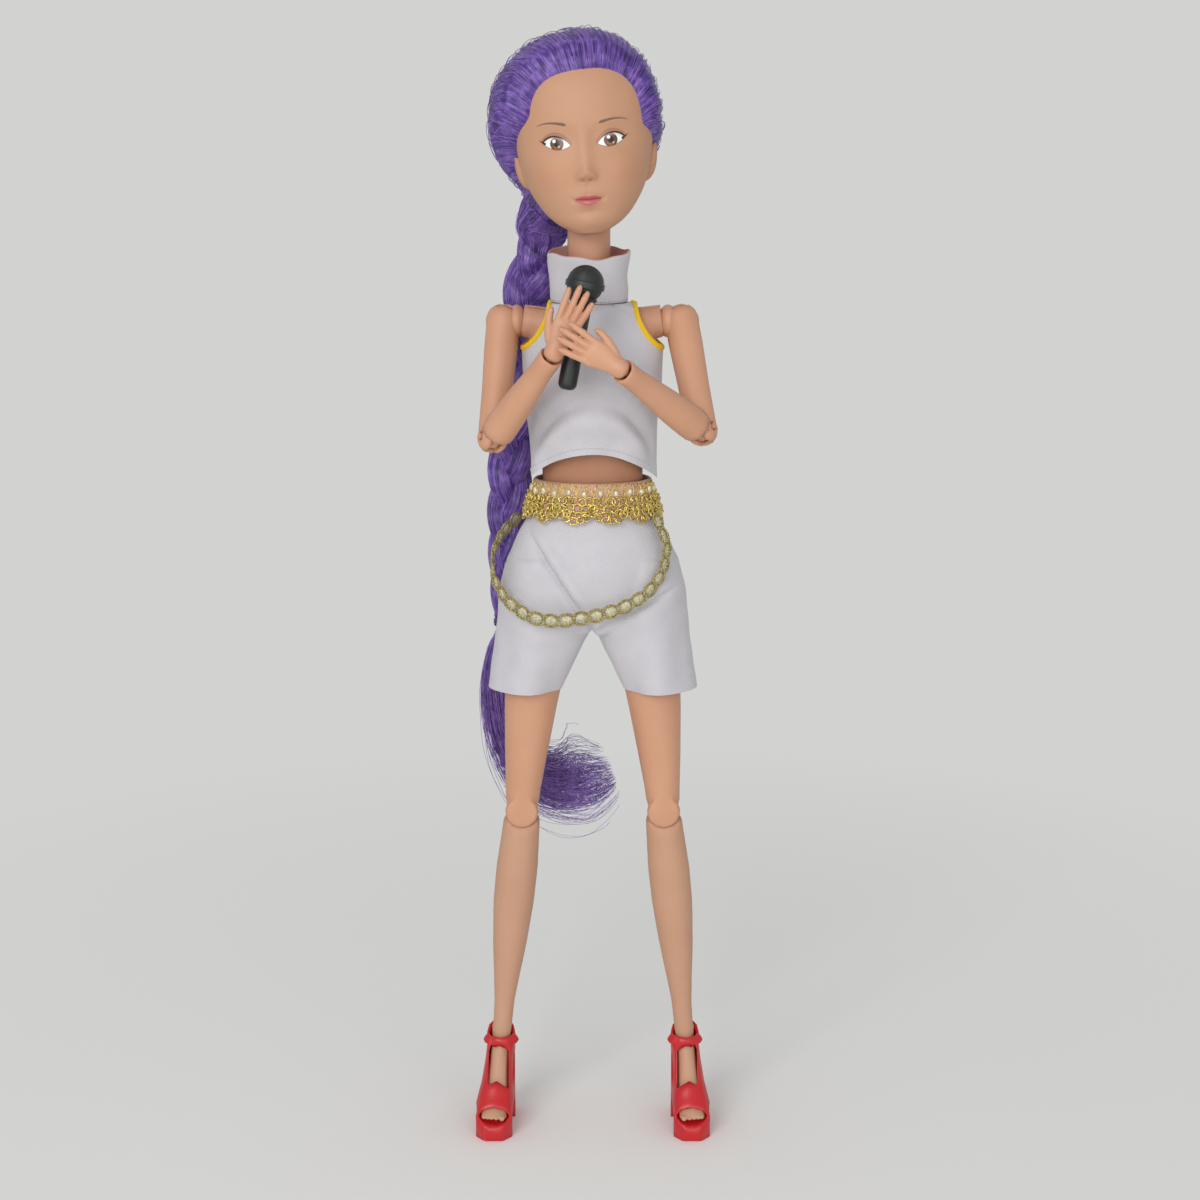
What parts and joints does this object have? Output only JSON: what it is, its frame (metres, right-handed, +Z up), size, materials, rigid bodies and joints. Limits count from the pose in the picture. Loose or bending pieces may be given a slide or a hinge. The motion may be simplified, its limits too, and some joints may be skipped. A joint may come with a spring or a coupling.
{
  "type": "fashion doll",
  "caption": "Jointed fashion doll with a long plait, halter top, shorts, lace belt, platform sandals and a toy microphone.",
  "frame": {"origin": "on the floor, under the middle of the doll's width and depth", "axes": "+Z up from the soles to the top of the head, -Y the way the doll faces, +X towards the doll's left side"},
  "size_m": [0.0664, 0.0618, 0.304],
  "materials": {
    "limb_plastic": "smooth peach moulded plastic",
    "leg_vinyl": "soft matte vinyl, a shade darker than the thighs",
    "head_vinyl": "soft matte rotocast vinyl with painted features",
    "torso_plastic": "moulded plastic, browner than the arms",
    "purple_hair": "rooted synthetic hair with a silky sheen",
    "white_satin": "woven white satin-backed twill",
    "yellow_piping": "yellow woven piping",
    "gold_lace": "metallic gold thread lace",
    "gold_loop_trim": "olive gold thread loops with white centres",
    "red_vinyl": "glossy soft red vinyl",
    "black_plastic": "black moulded plastic"
  },
  "bodies": {
    "pelvis": {"lower_torso": "torso_plastic", "waist_post": "torso_plastic", "shorts": "white_satin", "lace_belt": "gold_lace", "hip_chain": "gold_loop_trim"},
    "chest": {"chest_front": "torso_plastic", "chest_back": "torso_plastic", "crop_top": "white_satin", "armhole_trim_left": "yellow_piping", "armhole_trim_right": "yellow_piping", "collar": "white_satin", "braid": "purple_hair", "hair_tie_top": "purple_hair", "hair_tie_bottom": "purple_hair", "braid_tail": "purple_hair"},
    "neck": {"neck_peg": "limb_plastic"},
    "head": {"head": "head_vinyl", "hair_cap": "purple_hair"},
    "shoulder_left": {"shoulder_ball_left": "limb_plastic"},
    "upper_arm_left": {"upper_arm_left": "limb_plastic", "elbow_pin_left": "limb_plastic"},
    "forearm_left": {"forearm_left": "limb_plastic", "wrist_peg_left": "limb_plastic"},
    "hand_left": {"hand_left": "limb_plastic"},
    "hip_left": {"hip_ball_left": "limb_plastic"},
    "thigh_left": {"thigh_left": "limb_plastic", "knee_pin_left": "limb_plastic"},
    "lower_leg_left": {"lower_leg_left": "leg_vinyl", "sandal_left": "red_vinyl"},
    "shoulder_right": {"shoulder_ball_right": "limb_plastic"},
    "upper_arm_right": {"upper_arm_right": "limb_plastic", "elbow_pin_right": "limb_plastic"},
    "forearm_right": {"forearm_right": "limb_plastic", "wrist_peg_right": "limb_plastic"},
    "hand_right": {"hand_right": "limb_plastic"},
    "hip_right": {"hip_ball_right": "limb_plastic"},
    "thigh_right": {"thigh_right": "limb_plastic", "knee_pin_right": "limb_plastic"},
    "lower_leg_right": {"lower_leg_right": "leg_vinyl", "sandal_right": "red_vinyl"},
    "microphone": {"microphone_handle": "black_plastic", "microphone_head": "black_plastic"}
  },
  "joints": [
    {"name": "waist_turn", "type": "hinge", "parent": "pelvis", "child": "chest", "pos_m": [0, 0.00733, 0.2], "axis": [0, 0, 1], "range_deg": [-20, 20], "deforming": ["braid", "hair_tie_bottom", "braid_tail"]},
    {"name": "head_turn", "type": "hinge", "parent": "chest", "child": "neck", "pos_m": [-0.0009, 0.00733, 0.25], "axis": [0, 0, 1], "range_deg": [-60, 60], "deforming": ["hair_tie_top", "braid"]},
    {"name": "head_nod", "type": "hinge", "parent": "neck", "child": "head", "pos_m": [-0.0009, 0.00733, 0.2613], "axis": [1, 0, 0], "range_deg": [-10, 6]},
    {"name": "arm_swing_left", "type": "hinge", "parent": "chest", "child": "shoulder_left", "pos_m": [0.0235, 0.00833, 0.2295], "axis": [-1, 0, 0], "range_deg": [-20, 12]},
    {"name": "arm_raise_left", "type": "hinge", "parent": "shoulder_left", "child": "upper_arm_left", "pos_m": [0.0235, 0.00833, 0.2295], "axis": [0, -1, 0], "range_deg": [0, 90]},
    {"name": "elbow_left", "type": "hinge", "parent": "upper_arm_left", "child": "forearm_left", "pos_m": [0.02843, -0.00912, 0.20289], "axis": [0.7785, -0.449, 0.4385], "range_deg": [0, 100]},
    {"name": "arm_swing_right", "type": "hinge", "parent": "chest", "child": "shoulder_right", "pos_m": [-0.0235, 0.00833, 0.2295], "axis": [-1, 0, 0], "range_deg": [-20, 12]},
    {"name": "arm_raise_right", "type": "hinge", "parent": "shoulder_right", "child": "upper_arm_right", "pos_m": [-0.0235, 0.00833, 0.2295], "axis": [0, 1, 0], "range_deg": [0, 90]},
    {"name": "elbow_right", "type": "hinge", "parent": "upper_arm_right", "child": "forearm_right", "pos_m": [-0.02597, -0.00491, 0.20025], "axis": [0.8629, 0.4291, -0.2669], "range_deg": [0, 113]},
    {"name": "wrist_left", "type": "hinge", "parent": "forearm_left", "child": "hand_left", "pos_m": [0.0069, -0.02827, 0.2215], "axis": [0.4983, 0, 0.867], "range_deg": [-5, 45]},
    {"name": "wrist_right", "type": "hinge", "parent": "forearm_right", "child": "hand_right", "pos_m": [-0.0096, -0.02267, 0.2246], "axis": [0, 1, 0], "range_deg": [-18, 5]},
    {"name": "microphone_slide", "type": "slide", "parent": "hand_right", "child": "microphone", "axis": [0.1781, 0.085, 0.9803], "range_m": [0, 0.012]},
    {"name": "hip_swing_left", "type": "hinge", "parent": "pelvis", "child": "hip_left", "pos_m": [0.0132, 0.00783, 0.156], "axis": [-1, 0, 0], "range_deg": [-15, 80], "deforming": ["shorts", "hip_chain"]},
    {"name": "hip_spread_left", "type": "hinge", "parent": "hip_left", "child": "thigh_left", "pos_m": [0.0132, 0.00783, 0.156], "axis": [0, -1, 0], "range_deg": [-6, 35]},
    {"name": "knee_left", "type": "hinge", "parent": "thigh_left", "child": "lower_leg_left", "pos_m": [0.0196, 0.00733, 0.0947], "axis": [1, 0, 0], "range_deg": [0, 95]},
    {"name": "hip_swing_right", "type": "hinge", "parent": "pelvis", "child": "hip_right", "pos_m": [-0.0132, 0.00783, 0.156], "axis": [-1, 0, 0], "range_deg": [-15, 80], "deforming": ["shorts", "hip_chain", "braid_tail"]},
    {"name": "hip_spread_right", "type": "hinge", "parent": "hip_right", "child": "thigh_right", "pos_m": [-0.0132, 0.00783, 0.156], "axis": [0, 1, 0], "range_deg": [-6, 35]},
    {"name": "knee_right", "type": "hinge", "parent": "thigh_right", "child": "lower_leg_right", "pos_m": [-0.0196, 0.00733, 0.0947], "axis": [1, 0, 0], "range_deg": [0, 95]}
  ],
  "couplings": [
    {"joint": "arm_swing_right", "follows": "arm_swing_left", "ratio": 1},
    {"joint": "elbow_right", "follows": "elbow_left", "ratio": 1.13}
  ]
}
